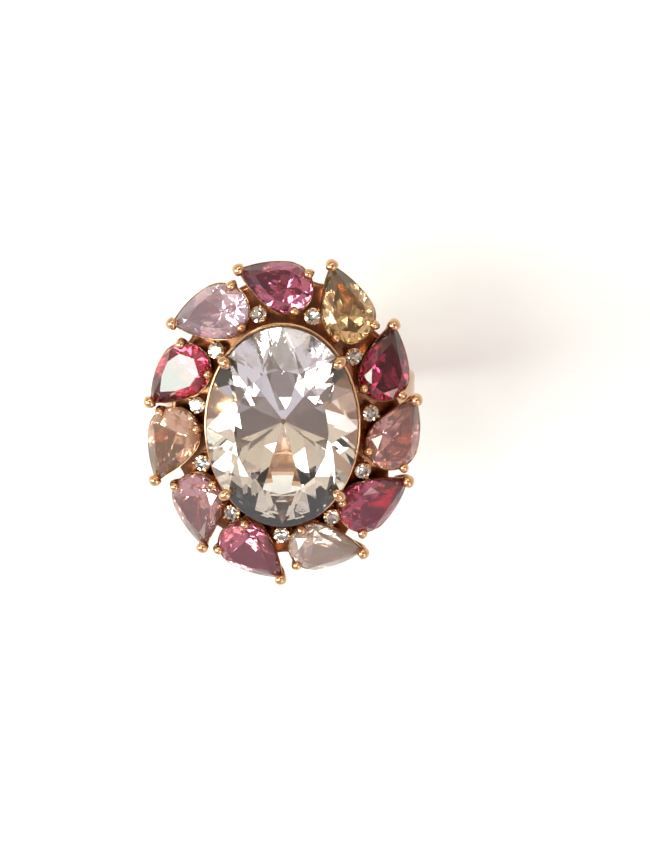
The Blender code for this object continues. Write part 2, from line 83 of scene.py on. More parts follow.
def new_material(name, **values):
    """A Principled material with plain values on the shader's own sockets."""
    material = bpy.data.materials.new(name)
    material.use_nodes = True
    shader = material.node_tree.nodes["Principled BSDF"]
    for key, value in values.items():
        shader.inputs[key.replace("_", " ")].default_value = value
    return material, material.node_tree, shader


print("mid grey in linear light:", round(float(colour("#808080")[0]), 3))

# %% [markdown]
# ## The stones
#
# A cut stone has no colour painted on it. White light goes in through the crown, bounces
# between the facets of the pavilion and comes out again, and the stone takes something from
# it on every millimetre of the way. So each stone is a clear solid with absorption inside:
# short paths stay pale, long ones turn deep, and one stone shows many shades of one colour.
# The colour is given as what is left after six millimetres. Three quarters of the loss is
# taken where the light crosses the skin, because these stones are thin and would be too pale
# with all of it inside.
#
# Natural stones are never quite clean. A small share of plain scattered light, called silk
# after the fine needles inside some stones, gives the milky look of the paler pears. Clouds in
# the polish soften the reflections without hiding the cut. Real polishing marks are microns
# wide, far too fine to show, so the clouds are drawn about 0.7 mm across.

# %% Gem material
COLOUR_PATH = 6.0
SKIN_SHARE = 0.75
CLOUDS_PER_MM = 1.4


def gem(name, left, index, silk, haze=0.02):
    """Clear polished stone; left is the sRGB colour that is left after COLOUR_PATH mm.

    What is left is e to the power of minus loss times path, so the loss is minus the
    logarithm of the colour, divided by the path. Returns the material and its place node.
    """
    kept = np.clip(np.array(colour(left)[:3]), 0.004, 0.995)
    skin = tuple(kept**SKIN_SHARE) + (1.0,)
    loss = -np.log(kept) * (1.0 - SKIN_SHARE) / (COLOUR_PATH * MM)
    density = float(loss.max()) * 1.02
    material, tree, shader = new_material(
        name, Base_Color=skin, Transmission_Weight=1.0 - silk, Roughness=0.0, IOR=index
    )
    place = add(tree, "ShaderNodeTexCoord")
    cloud = add(
        tree, "ShaderNodeTexNoise",
        inputs={"Scale": CLOUDS_PER_MM / MM, "Detail": 3.0, "Roughness": 0.6},
        links={"Vector": place.outputs["Object"]},
    )
    polish = add(
        tree, "ShaderNodeMapRange",
        inputs={"From Min": 0.55, "From Max": 0.85, "To Min": 0.0, "To Max": haze},
        links={"Value": cloud.outputs["Fac"]},
    )
    tree.links.new(polish.outputs["Result"], shader.inputs["Roughness"])
    inside = add(
        tree, "ShaderNodeVolumeAbsorption",
        inputs={"Color": tuple(1.0 - loss / density) + (1.0,), "Density": density},
    )
    tree.links.new(inside.outputs["Volume"], tree.nodes["Material Output"].inputs["Volume"])
    return material, place


def coat(name, material):
    """Put a material in every slot of a CAD node."""
    slots = nodes[name].data.materials
    slots.clear()
    slots.append(material)


print("share of the colour taken inside the stone:", 1.0 - SKIN_SHARE)

# %% [markdown]
# ## Eleven pears
#
# The pears are a mixed lot. The garnets and the rubellite are deep red and nearly clear, so
# they show black depths and bright flashes. The tourmalines are rose and mauve with some silk.
# The morganites and the quartz are so pale that their milkiness is most of what is seen.
#
# Morganite has a refractive index of about 1.58, topaz and tourmaline 1.62, garnet 1.76. All
# the pears share 1.74 here. That is higher than typical for most of them and was matched:
# a shallow pear of lower index lets the eye through to the metal behind it, where the
# real ones send colour back.

# %% Pear stones
PEAR_INDEX = 1.74
PEAR_COLOURS = (
    ("rhodolite", "#d06c90", 0.06),
    ("champagne topaz", "#eec890", 0.05),
    ("garnet", "#a83050", 0.04),
    ("peach tourmaline", "#e0a6a2", 0.11),
    ("raspberry tourmaline", "#c45876", 0.09),
    ("smoky rose quartz", "#ecd2c6", 0.16),
    ("rose tourmaline", "#d07084", 0.11),
    ("mauve tourmaline", "#e0a8aa", 0.11),
    ("peach morganite", "#f4c4a6", 0.08),
    ("rubellite", "#d44058", 0.04),
    ("pink morganite", "#f2cede", 0.14),
)
for node, (name, left, silk) in zip(PEARS, PEAR_COLOURS):
    coat(node, gem(name, left, PEAR_INDEX, silk)[0])
print("pears coloured:", len(PEARS))

# %% [markdown]
# ## Small brilliants and the centre stone
#
# The small stones are white and very bright. Diamond has an index of 2.42; at this size 2.10
# gives the same salt-and-pepper sparkle without turning half of them black.
#
# The big stone is almost colourless and takes its lavender and champagne tones from the room.
# It has a feather, a patch of fine bubbles near one end that breaks the reflections up. The
# bubbles are a faint relief that starts part of the way along the stone and thickens towards
# its end. Real ones are hundredths of a millimetre wide, and here they are 0.3 mm apart to show.

# %% Brilliants and centre stone
BRILLIANT_INDEX = 2.10
CENTRE_INDEX = 1.70
CENTRE_SILK = 0.015
FEATHER_START = 4.6
FEATHER_FULL = 7.0
BUBBLES_PER_MM = 3.0
BUBBLE_DEPTH = 0.03

brilliant, _ = gem("small brilliants", "#fbfbf4", BRILLIANT_INDEX, 0.0, haze=0.0)
for node in MELEE:
    coat(node, brilliant)

centre, place = gem("centre stone", "#faf6f4", CENTRE_INDEX, CENTRE_SILK)
tree = centre.node_tree
spot = add(tree, "ShaderNodeSeparateXYZ", links={"Vector": place.outputs["Object"]})
region = add(
    tree, "ShaderNodeMapRange",
    inputs={"From Min": FEATHER_START * MM, "From Max": FEATHER_FULL * MM},
    links={"Value": spot.outputs["Y"]},
)
bubbles = add(
    tree, "ShaderNodeTexNoise",
    inputs={"Scale": BUBBLES_PER_MM / MM, "Detail": 2.0, "Roughness": 0.7},
    links={"Vector": place.outputs["Object"]},
)
feather = add(
    tree, "ShaderNodeMath", {"operation": "MULTIPLY"},
    links={0: region.outputs["Result"], 1: bubbles.outputs["Fac"]},
)
relief = add(
    tree, "ShaderNodeBump", inputs={"Strength": 0.4, "Distance": BUBBLE_DEPTH * MM},
    links={"Height": feather.outputs["Value"]},
)
tree.links.new(relief.outputs["Normal"], tree.nodes["Principled BSDF"].inputs["Normal"])
coat("centre_stone", centre)
print("small brilliants:", len(MELEE), "and one centre stone")

# %% [markdown]
# ## Rose gold, polished and as cast
#
# Rose gold is gold with copper in it. Polished, it is a mirror that tints what it reflects,
# so nearly all of its look comes from what stands round it. Swirls from the polishing mop
# spread the highlights a little. The corners are given painted shade: an Ambient Occlusion
# node finds them on each piece, and there the metal's colour is mixed towards a dark brown.
#
# The plate under the stones can't be reached by the mop and keeps a rougher skin from the
# casting. It gets little light, and its colour is also painted darker as shade, so it reads as
# a dark warm brown between bright stones.
# The marks of a mop are some tens of microns apart; the swirls are drawn at 0.4 mm to show.

# %% Gold
GOLD = "#cca27c"
# Dark brown painted shade, mixed into the corners that Ambient Occlusion finds.
CORNER_PAINTED_SHADE = "#6c3e24"
# The plate's colour, darker than the polished metal as painted shade.
GOLD_CAST_PAINTED_SHADE = "#7e543c"
SWIRLS_PER_MM = 2.6
SWIRL_DEPTH = 0.004
# How far Ambient Occlusion looks for the corners that get painted shade.
PAINTED_SHADE_REACH = 1.0


def rose_gold(name, face, smoothest, roughest):
    """Rose gold whose roughness wanders between two values with the swirls of the mop, and whose
    corners get painted shade.
    """
    material, tree, shader = new_material(
        name, Base_Color=colour(face), Metallic=1.0, Roughness=smoothest
    )
    place = add(tree, "ShaderNodeTexCoord")
    swirls = add(
        tree, "ShaderNodeTexNoise",
        inputs={"Scale": SWIRLS_PER_MM / MM, "Detail": 4.0, "Roughness": 0.65, "Distortion": 1.2},
        links={"Vector": place.outputs["Object"]},
    )
    rub = add(
        tree, "ShaderNodeMapRange",
        inputs={"From Min": 0.3, "From Max": 0.75, "To Min": smoothest, "To Max": roughest},
        links={"Value": swirls.outputs["Fac"]},
    )
    # Painted shade: Ambient Occlusion finds the corners, and their colour is mixed towards the dark
    # brown.
    nook = add(
        tree, "ShaderNodeAmbientOcclusion", {"samples": 6, "only_local": True},
        inputs={"Distance": PAINTED_SHADE_REACH * MM},
    )
    painted_corner_shade = add(
        tree, "ShaderNodeMapRange",
        inputs={"From Min": 0.20, "From Max": 0.80, "To Min": 1.0, "To Max": 0.0},
        links={"Value": nook.outputs["AO"]},
    )
    tone = add(
        tree, "ShaderNodeMix", {"data_type": "RGBA"},
        inputs={"A": colour(face), "B": colour(CORNER_PAINTED_SHADE)},
        links={"Factor": painted_corner_shade.outputs["Result"]},
    )
    ripple = add(
        tree, "ShaderNodeBump", inputs={"Strength": 0.25, "Distance": SWIRL_DEPTH * MM},
        links={"Height": swirls.outputs["Fac"]},
    )
    tree.links.new(rub.outputs["Result"], shader.inputs["Roughness"])
    tree.links.new(tone.outputs["Result"], shader.inputs["Base Color"])
    tree.links.new(ripple.outputs["Normal"], shader.inputs["Normal"])
    return material


gold = rose_gold("polished rose gold", GOLD, 0.09, 0.24)
# The plate's material: rougher, as cast, with its colour darkened as painted shade.
cast_gold_painted_shade = rose_gold("rose gold as cast with painted shade", GOLD_CAST_PAINTED_SHADE, 0.15, 0.30)
print("metal finishes:", gold.name, "and", cast_gold_painted_shade.name)

# %% [markdown]
# ## Reading a stone
#
# A setting is made to its stone, so every setting here is built from measurements of the
# solid stone it holds. The table is the largest flat, and its normal says how the stone
# leans. The girdle is the widest level. The tip of a pear is the corner of its outline that
# is furthest from the middle.

# %% Measure a stone
FACES_UP = 0.9
SAME_FLAT = 0.9999
GIRDLE_SHARE = 0.92


def unit(vectors):
    """Each row vector divided by its own length."""
    return vectors / np.linalg.norm(vectors, axis=-1, keepdims=True)


def corners_of(name):
    """Corners of a CAD node in millimetres, and its triangles."""
    mesh = nodes[name].data
    points = np.empty(len(mesh.vertices) * 3)
    mesh.vertices.foreach_get("co", points)
    mesh.calc_loop_triangles()
    triangles = np.empty(len(mesh.loop_triangles) * 3, int)
    mesh.loop_triangles.foreach_get("vertices", triangles)
    return points.reshape(-1, 3) / MM, triangles.reshape(-1, 3)


def read_stone(name):
    """Corners of a stone, the outward normal of its table, and how far up that the girdle is.

    A flat's size is the summed area of the triangles whose normals agree, and the girdle is
    the mean height of the corners that lie furthest out.
    """
    points, triangles = corners_of(name)
    a, b, c = (points[triangles[:, i]] for i in range(3))
    cross = np.cross(b - a, c - a)
    area = np.linalg.norm(cross, axis=1)
    normals = cross / np.maximum(area, 1e-12)[:, None]
    alike = (normals @ normals.T > SAME_FLAT) * area[None, :]
    flats = np.where(normals[:, 2] > FACES_UP, alike.sum(axis=1), 0.0)
    up = normals[np.argmax(flats)]
    heights = points @ up
    middle = points.mean(axis=0)
    reach = np.linalg.norm(points - middle - np.outer(heights - middle @ up, up), axis=1)
    girdle = heights[reach > GIRDLE_SHARE * reach.max()].mean()
    return points, up, girdle


centre_points, _, centre_girdle = read_stone("centre_stone")
CENTRE_HALF = np.ptp(centre_points, axis=0)[:2] / 2
print("centre stone half-axes mm:", np.round(CENTRE_HALF, 2), "girdle at", round(centre_girdle, 2))

# %% Measure the pears


def read_pear(name):
    """Pose of a pear, as (middle of its round end, tip direction, side, up), length and width."""
    points, up, girdle = read_stone(name)
    flat = points - np.outer(points @ up - girdle, up)
    middle = (flat.max(axis=0) + flat.min(axis=0)) / 2
    tip = flat[np.argmax(np.linalg.norm(flat - middle, axis=1))]
    ahead = unit(tip - middle)
    for _ in range(3):
        side = np.cross(up, ahead)
        across = flat @ side
        centred = (across.max() + across.min()) / 2 - flat.mean(axis=0) @ side
        ahead = unit(tip - flat.mean(axis=0) - side * centred)
    side = np.cross(up, ahead)
    length = np.ptp(flat @ ahead)
    width = np.ptp(flat @ side)
    return (tip - ahead * (length - width / 2), ahead, side, up), length, width


def from_local(pose, local):
    """Points given along (tip direction, side, up) of a pose, in the ring's own frame."""
    origin, ahead, side, up = pose
    return origin + local @ np.stack([ahead, side, up])


readings = {name: read_pear(name) for name in PEARS}
for name, (_, length, width) in readings.items():
    print(name, "length", round(float(length), 2), "width", round(float(width), 2), "mm")

# %% [markdown]
# ## Surfaces from grids
#
# A surface here is always a grid of points: rows go along the piece and columns go round it.
# Everything is worked out in millimetres, because that is how a jeweller measures, and is
# written to the mesh in metres. A wall is an outline that a profile repeats at other sizes
# and heights. Any set of grids becomes one closed piece whose faces point outwards.

# %% Points and walls


def circle(count):
    """Points evenly spaced round a circle of radius one."""
    turn = np.linspace(0.0, 2 * np.pi, count, endpoint=False)
    return np.stack([np.cos(turn), np.sin(turn)], axis=1)


def raised(flat, height):
    """Rows of points in the plane, lifted to a height for each row or for each point."""
    return np.concatenate([flat, np.broadcast_to(height, flat.shape[:2])[..., None]], axis=2)


def wall_round(outline, profile):
    """Wall whose every row is the outline times a profile's first number, at its second."""
    scale, height = np.array(profile).T
    return raised(outline[None] * scale[:, None, None], height[:, None])


print("a circle of four points:", np.round(circle(4), 2).tolist())

# %% From grids to a piece


def grid_faces(rows, columns, loop):
    """Corner indices of the quads of a grid whose columns close on themselves.

    With loop the last row joins the first, as on a ring; without it both ends are capped.
    """
    across = np.arange(rows if loop else rows - 1)[:, None]
    around = np.arange(columns)[None, :]
    here, ahead = across * columns, (across + 1) % rows * columns
    beside = (around + 1) % columns
    corners = (here + around, here + beside, ahead + beside, ahead + around)
    quads = np.stack(np.broadcast_arrays(*corners), axis=-1).reshape(-1, 4)
    ends = [np.arange(columns)[::-1], np.arange(columns) + (rows - 1) * columns]
    return quads, [] if loop else ends


def signed_volume(points, quads):
    """Six times the volume inside the quads, positive when they face outwards.

    Each quad is two triangles, and each triangle adds the triple product of its corners.
    """
    a, b, c, d = (points[quads[:, i]] for i in range(4))
    return np.einsum("ij,ij->", np.cross(a, b), c) + np.einsum("ij,ij->", np.cross(a, c), d)


def set_out(name, mesh, material, stands_for, smooth_angle):
    """Smooth a mesh but for its sharp edges, and put it in the place of its CAD nodes."""
    mesh.shade_smooth()
    mesh.set_sharp_from_angle(angle=math.radians(smooth_angle))
    mesh.materials.append(material)
    piece = bpy.data.objects.new(name, mesh)
    bpy.context.scene.collection.objects.link(piece)
    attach(piece, "root")
    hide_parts(*stands_for)


def make_piece(name, grids, material, stands_for, smooth_angle=50.0):
    """One piece from (grid, loop) pairs in millimetres, in the place of the named nodes."""
    points, counts, corners, start = [], [], [], 0
    for grid, loop in grids:
        rows, columns, _ = grid.shape
        flat = grid.reshape(-1, 3)
        quads, caps = grid_faces(rows, columns, loop)
        if signed_volume(flat, quads) < 0.0:
            quads = quads[:, ::-1]
            caps = [cap[::-1] for cap in caps]
        points.append(flat)
        counts += [4] * len(quads) + [columns] * len(caps)
        corners += [quads.reshape(-1) + start] + [cap + start for cap in caps]
        start += len(flat)
    points, corners = np.concatenate(points) * MM, np.concatenate(corners)
    mesh = bpy.data.meshes.new(name)
    mesh.vertices.add(len(points))
    mesh.vertices.foreach_set("co", points.reshape(-1))
    mesh.loops.add(len(corners))
    mesh.loops.foreach_set("vertex_index", corners)
    mesh.polygons.add(len(counts))
    mesh.polygons.foreach_set("loop_start", np.concatenate([[0], np.cumsum(counts)[:-1]]))
    mesh.update(calc_edges=True)
    mesh.validate()
    set_out(name, mesh, material, stands_for, smooth_angle)
    return len(points)


print("faces on a grid of 3 rows by 4 that loops:", len(grid_faces(3, 4, True)[0]))

# %% [markdown]
# ## Bars that follow a path
#
# Claws, wire and posts are all round bars drawn along a line. A few stations say where the
# line goes and how thick the bar is there, a smooth curve is passed through them, and a
# circle is laid square to that curve at every point.

# %% Curves and bars
THINNEST = 0.012


def smooth_through(stations, count):
    """Points on a smooth curve through a few stations, evenly spaced in its parameter.

    Between two stations the curve is the Catmull-Rom cubic, which leaves each one along the
    line that joins its two neighbours.
    """
    keys = np.asarray(stations, float)
    padded = np.concatenate([2 * keys[:1] - keys[1:2], keys, 2 * keys[-1:] - keys[-2:-1]])
    t = np.linspace(0.0, len(keys) - 1.0, count)
    i = np.minimum(t.astype(int), len(keys) - 2)
    f = (t - i)[:, None]
    p0, p1, p2, p3 = (padded[i + k] for k in range(4))
    bend = (2 * p0 - 5 * p1 + 4 * p2 - p3) * f**2 + (3 * p1 - 3 * p2 + p3 - p0) * f**3
    return 0.5 * (2 * p1 + (p2 - p0) * f + bend)


def tube(path, radius, around, closed=False, reference=(0.0, 0.0, 1.0)):
    """Round bar: at every point of the path a circle lies square to the way the path runs."""
    if closed:
        ahead = np.roll(path, -1, axis=0) - np.roll(path, 1, axis=0)
    else:
        ahead = np.gradient(path, axis=0)
    ahead = unit(ahead)
    side = unit(np.cross(np.broadcast_to(reference, ahead.shape), ahead))
    up = np.cross(ahead, side)
    x, y = circle(around).T[..., None]
    radius = np.broadcast_to(radius, (len(path),))[:, None, None]
    return path[:, None] + radius * (x[None] * side[:, None] + y[None] * up[:, None])


def claw(anchor, outward, line, around):
    """Bar along a line of (distance outward from the anchor, height, radius)."""
    path = np.zeros((len(line), 3))
    path[:, :2] = anchor + outward * line[:, :1]
    path[:, 2] = line[:, 1]
    radius = np.maximum(line[:, 2], THINNEST)
    return tube(path, radius, around, reference=(-outward[1], outward[0], 0.0))


print("thinnest bar mm:", THINNEST)

# %% [markdown]
# ## Pear settings
#
# Each pear sits in a collet, a tapered wall that follows the outline under the girdle. Three
# claws rise outside the girdle, one at the sharp tip, where a stone chips most easily, and
# two on the round end. The setter bends each claw over the crown and rounds its end into
# a bead with a cupped burr, so a claw is a bar that swells into a ball as it turns inwards.
#
# The outline could be traced from the stone, corner by corner. Three arcs that touch each
# other are smoother, and they are how a pear is drawn for cutting.

# %% Pear outline and collet
FLANK_START = math.radians(75.0)
OUTLINE_POINTS = 84
COLLET_PROFILE = (
    (0.930, -0.26), (0.990, -0.12), (1.012, -0.06), (1.040, -0.05), (1.056, -0.10),
    (1.052, -0.20), (1.010, -0.60), (0.900, -1.40), (0.830, -1.86), (0.815, -1.90),
    (0.660, -1.90), (0.645, -1.86), (0.740, -1.00), (0.865, -0.34),
)


def pear_outline(length, width, count):
    """Points round a pear: a circle for the round end and two arcs that meet at the tip.

    Both arcs touch the circle at FLANK_START from the axis. Their radius follows from the
    tip lying on them: the tip's distance squared plus the circle's radius squared, less
    twice their product times the cosine, over twice the circle's radius less the distance
    times the cosine.
    """
    head = width / 2
    reach = length - head
    flank = reach**2 + head**2 - 2 * reach * head * math.cos(FLANK_START)
    flank /= 2 * (head - reach * math.cos(FLANK_START))
    centre = (head - flank) * np.array([math.cos(FLANK_START), math.sin(FLANK_START)])
    tip_turn = math.atan2(-centre[1], reach - centre[0])
    side = flank * (FLANK_START - tip_turn)
    half = side + head * (math.pi - FLANK_START)
    travel = 2 * half * np.arange(count) / count
    folded = np.minimum(travel, 2 * half - travel)
    on_side = folded < side
    turn = np.where(on_side, tip_turn + folded / flank, FLANK_START + (folded - side) / head)
    x = np.where(on_side, centre[0] + flank * np.cos(turn), head * np.cos(turn))
    y = np.where(on_side, centre[1] + flank * np.sin(turn), head * np.sin(turn))
    return np.stack([x, np.where(travel > half, -y, y)], axis=1)


print("outline points:", OUTLINE_POINTS, "and corners in the collet's profile:", len(COLLET_PROFILE))

# %% Pear claws
CLAW_FOOT = (-1.72, 0.20)
CLAW_STEM = ((-0.04, -0.90, 0.25), (0.17, -0.30, 0.27), (0.23, 0.02, 0.28))
CLAW_BEND = (
    (0.20, 0.20, 0.30), (0.10, 0.34, 0.37), (-0.04, 0.41, 0.40), (-0.19, 0.42, 0.34),
    (-0.33, 0.39, 0.17),
)
BEND_BEAD = 0.40
CLAW_NOSE = ((-0.05, -0.03, -0.07), (-0.085, -0.05, -0.155))
CLAW_ROWS, CLAW_AROUND = 34, 18
SIDE_CLAW_TURN = math.radians(128.0)
TIP_FOOT, TIP_BEAD = -0.62, 0.53
SIDE_FOOT, SIDE_BEAD = -0.34, 0.40


def pear_claw_line(foot, bead):
    """Line of a claw from its foot on the collet, past the girdle and over the crown.

    Foot is how far outside the girdle it starts, less than nothing when that is inside, and
    bead is the radius that the bend swells to.
    """
    bend = [(reach, height, bead * thick / BEND_BEAD) for reach, height, thick in CLAW_BEND]
    line = smooth_through([(foot, *CLAW_FOOT), *CLAW_STEM, *bend], CLAW_ROWS)
    return np.concatenate([line, line[-1] + np.array(CLAW_NOSE)])


def pear_setting(number, pose, length, width):
    """Collet and three claws for one pear, as one piece."""
    head = width / 2
    tip = np.array([length - head, 0.0])
    left = np.array([math.cos(SIDE_CLAW_TURN), math.sin(SIDE_CLAW_TURN)])
    right = left * (1.0, -1.0)
    grids = [(wall_round(pear_outline(length, width, OUTLINE_POINTS), COLLET_PROFILE), True)]
    grids.append((claw(tip, unit(tip), pear_claw_line(TIP_FOOT, TIP_BEAD), CLAW_AROUND), False))
    for outward in (left, right):
        line = pear_claw_line(SIDE_FOOT, SIDE_BEAD)
        grids.append((claw(outward * head, outward, line, CLAW_AROUND), False))
    placed = [(from_local(pose, grid), loop) for grid, loop in grids]
    stands_for = [f"pear_setting_{number:02d}"]
    return make_piece(f"pear_setting_{number:02d}_gold", placed, gold, stands_for)


points = [pear_setting(number, *readings[name]) for number, name in enumerate(PEARS, start=1)]
print("pear settings:", len(points), "points in each:", points[0])

# %% [markdown]
# ## Settings of the small brilliants
#
# The eleven small brilliants fill the corners on the inner side of the pears. Each sits in
# a short tube and is held by three grains, small domes of metal raised with a graver and
# pushed over its edge.

# %% Tubes and grains
TUBE_PROFILE = (
    (0.60, -0.05), (0.655, -0.07), (0.665, -0.14), (0.66, -1.36), (0.64, -1.40),
    (0.42, -1.40), (0.40, -1.36), (0.50, -0.30),
)
GRAIN_TURNS = (90.0, 210.0, 330.0)
GRAIN_AT = 0.64
GRAIN_SIZE = 0.17
GRAIN_STEM = ((0.75, -0.40), (0.80, -0.10))
DOME_FROM, DOME_TO = -0.15, math.pi / 2 - 0.04
DOME_FOOT, DOME_SQUASH = 0.03, 0.9


def grain(spot, size):
    """Small dome on a short stem: circles whose radius is the cosine of a rising angle."""
    lift = np.linspace(DOME_FROM, DOME_TO, 9)
    stem = np.array(GRAIN_STEM)
    radius = np.concatenate([stem[:, 0] * size, size * np.cos(lift)])
    height = np.concatenate([stem[:, 1], DOME_FOOT + size * DOME_SQUASH * np.sin(lift)])
    return raised(spot + radius[:, None, None] * circle(14), height[:, None])


def melee_setting(number, name):
    """Tube and three grains for one small brilliant."""
    points, up, girdle = read_stone(name)
    middle = (points.max(axis=0) + points.min(axis=0)) / 2
    middle = middle - up * (middle @ up - girdle)
    flat = np.array([middle[0], middle[1], 0.0])
    ahead = unit(flat - up * (flat @ up))
    grids = [(wall_round(circle(40), TUBE_PROFILE), True)]
    for turn in np.radians(GRAIN_TURNS):
        spot = GRAIN_AT * np.array([math.cos(turn), math.sin(turn)])
        grids.append((grain(spot, GRAIN_SIZE), False))
    pose = (middle, ahead, np.cross(up, ahead), up)
    placed = [(from_local(pose, grid), loop) for grid, loop in grids]
    stands_for = [f"melee_setting_{number:02d}"]
    return make_piece(f"melee_setting_{number:02d}_gold", placed, gold, stands_for)


points = [melee_setting(number, name) for number, name in enumerate(MELEE, start=1)]
print("small settings:", len(points), "points in each:", points[0])

# %% [markdown]
# ## The centre basket
#
# The big stone sits in a tapered collet, cut away inside so that light reaches the pavilion,
# with four claws near the corners of its outline. Its rim is thin, and shows a little more
# at one end of the stone than at the other, as a hand-filed rim does. Each row of the wall
# is the stone's own oval, set in or out by an amount on both half-axes.

# %% Basket and claws
BASKET_PROFILE = (
    (-0.08, 26.70), (0.02, 26.79), (0.12, 26.80), (0.19, 26.74), (0.22, 26.62),
    (0.18, 26.48), (0.06, 26.20), (-0.10, 25.60), (-0.16, 25.00), (-1.00, 23.75),
    (-1.86, 22.46), (-1.94, 22.40), (-2.30, 22.40), (-2.36, 22.46), (-0.75, 25.00),
    (-0.26, 26.40),
)
RIM_SHIFT = 0.12
SHIFT_FROM, SHIFT_OVER = 25.6, 0.8
BASKET_AROUND = 160
CENTRE_CLAW_TURN = 41.4
CENTRE_CLAW_ROWS, CENTRE_CLAW_AROUND = 44, 20
CENTRE_CLAW = (
    (-1.30, -3.75, 0.26), (-0.12, -1.80, 0.32), (0.18, -0.60, 0.34), (0.30, 0.00, 0.36),
    (0.28, 0.28, 0.39), (0.14, 0.48, 0.44), (-0.06, 0.56, 0.46), (-0.28, 0.58, 0.40),
    (-0.46, 0.56, 0.22), (-0.55, 0.54, 0.03),
)

offset, height = np.array(BASKET_PROFILE).T
flat = (CENTRE_HALF + offset[:, None])[:, None] * circle(BASKET_AROUND)
flat[..., 1] += RIM_SHIFT * np.clip((height - SHIFT_FROM) / SHIFT_OVER, 0.0, 1.0)[:, None]
grids = [(raised(flat, height[:, None]), True)]
line = smooth_through(CENTRE_CLAW, CENTRE_CLAW_ROWS) + (0.0, centre_girdle, 0.0)
for base in (0.0, 180.0):
    for turn in np.radians((base + CENTRE_CLAW_TURN, base + 180.0 - CENTRE_CLAW_TURN)):
        heading = np.array([math.cos(turn), math.sin(turn)])
        outward = unit(heading / CENTRE_HALF)
        bar = claw(CENTRE_HALF * heading, outward, line, CENTRE_CLAW_AROUND)
        grids.append((bar, False))
count = make_piece("centre_basket_gold", grids, gold, ["centre_basket"])
print("basket points:", count)

# %% [markdown]
# ## The halo plate
#
# The plate carries every setting. On the real ring it would be sawn from sheet, domed so
# that the pears lean outwards, and filed back between them so that its edge never shows as
# a plain oval. It is an oval ring whose outer edge waves in and out once for every pear: a
# cosine of the angle to the nearest pear, one at the pear and nothing half way between two.

# %% Plate
HALO_HALF = np.array([8.85, 11.08])
SLOPE = math.tan(math.radians(12.0))
PLATE_TOP = 22.235
PLATE_HOLE_INSET = 1.28
EDGE_AT_GAP = 0.10
EDGE_AT_PEAR = 0.90
PLATE_POINTS = 440
PLATE_EDGE_ANGLE = 60.0
PLATE_PROFILE = (
    (0.00, -0.04), (0.06, 0.00), (0.50, 0.00), (0.93, 0.00), (0.985, -0.05), (1.00, -0.16),
    (1.00, -0.40), (0.985, -0.50), (0.93, -0.55), (0.50, -0.55), (0.06, -0.55), (0.00, -0.51),
)

ring = circle(PLATE_POINTS)
turn = np.linspace(0.0, 2 * np.pi, PLATE_POINTS, endpoint=False)
middles = np.array([
    pose[0] + pose[1] * (length - width) / 2 for pose, length, width in readings.values()
])
places = np.arctan2(middles[:, 1] / HALO_HALF[1], middles[:, 0] / HALO_HALF[0])
nearest = np.abs((turn[:, None] - places + np.pi) % (2 * np.pi) - np.pi).min(axis=1)
wave = 0.5 + 0.5 * np.cos(nearest * len(PEARS))
inner = (CENTRE_HALF - PLATE_HOLE_INSET) * ring
outer = (HALO_HALF + (EDGE_AT_GAP + (EDGE_AT_PEAR - EDGE_AT_GAP) * wave)[:, None]) * ring
share, drop = np.array(PLATE_PROFILE).T
flat = inner + (outer - inner) * share[:, None, None]
reach = np.linalg.norm(flat, axis=2) - np.linalg.norm(HALO_HALF * ring, axis=1)
sheet = raised(flat, PLATE_TOP + drop[:, None] - reach * SLOPE)
make_piece("halo_plate_gold", [(sheet, True)], cast_gold_painted_shade, ["halo_plate"], PLATE_EDGE_ANGLE)
print("plate mm, lowest and highest:", np.round([sheet[..., 2].min(), sheet[..., 2].max()], 2))

# %% [markdown]
# ## The gallery
#
# A wire bent to an oval and eleven short posts lift the cluster off the finger and let
# light in under the stones. The posts lean outwards and flare where solder has drawn into
# the corner at each end. The flare is a plain radius plus a bell curve round each joint.

# %% Gallery
GALLERY_HALF = np.array([6.60, 8.40])
GALLERY_Z = 20.65
WIRE_RADIUS = 0.42
WIRE_POINTS, WIRE_AROUND = 220, 24
POST_INSET = 0.85
POST_TOP = 21.90
POST_RADIUS = 0.30
POST_FLARES = ((0.20, 0.10, 0.10), (1.00, 0.14, 0.12))
POST_ROWS, POST_AROUND = 14, 18

wire = raised(GALLERY_HALF * circle(WIRE_POINTS)[:, None], GALLERY_Z)[:, 0]
grids = [(tube(wire, WIRE_RADIUS, WIRE_AROUND, closed=True), True)]
along = np.linspace(0.0, 1.0, POST_ROWS)
thick = POST_RADIUS + sum(
    extra * np.exp(-(((along - joint) / spread) ** 2)) for joint, extra, spread in POST_FLARES
)
for angle in places:
    heading = np.array([math.cos(angle), math.sin(angle)])
    foot = np.array([*(GALLERY_HALF * heading), GALLERY_Z])
    head = np.array([*((HALO_HALF - POST_INSET) * heading), POST_TOP])
    post = foot + along[:, None] * (head - foot)
    bar = tube(post, thick, POST_AROUND, reference=(-heading[1], heading[0], 0.0))
    grids.append((bar, False))
count = make_piece("gallery_gold", grids, gold, ["gallery"])
print("gallery points:", count, "posts:", len(grids) - 1)

# %% [markdown]
# ## The band
#
# The band follows its solid exactly, because the fit on the finger is measured there. A CAD
# node is loose triangles, which can't be shaded smoothly, so its skin is a copy whose equal
# corners are welded, smooth everywhere but along the true edges.

# %% Band
WELD = 0.0005
BAND_EDGE_ANGLE = 32.0

points, triangles = corners_of("shank")
_, first, same = np.unique(
    np.round(points / WELD).astype(np.int64), axis=0, return_index=True, return_inverse=True
)
faces = same.reshape(-1)[triangles]
whole = (faces != np.roll(faces, 1, axis=1)).all(axis=1)
mesh = bpy.data.meshes.new("shank_gold")
mesh.from_pydata((points[first] * MM).tolist(), [], faces[whole].tolist())
set_out("shank_gold", mesh, gold, ["shank"], BAND_EDGE_ANGLE)
print("band points:", len(points), "before welding and", len(first), "after")

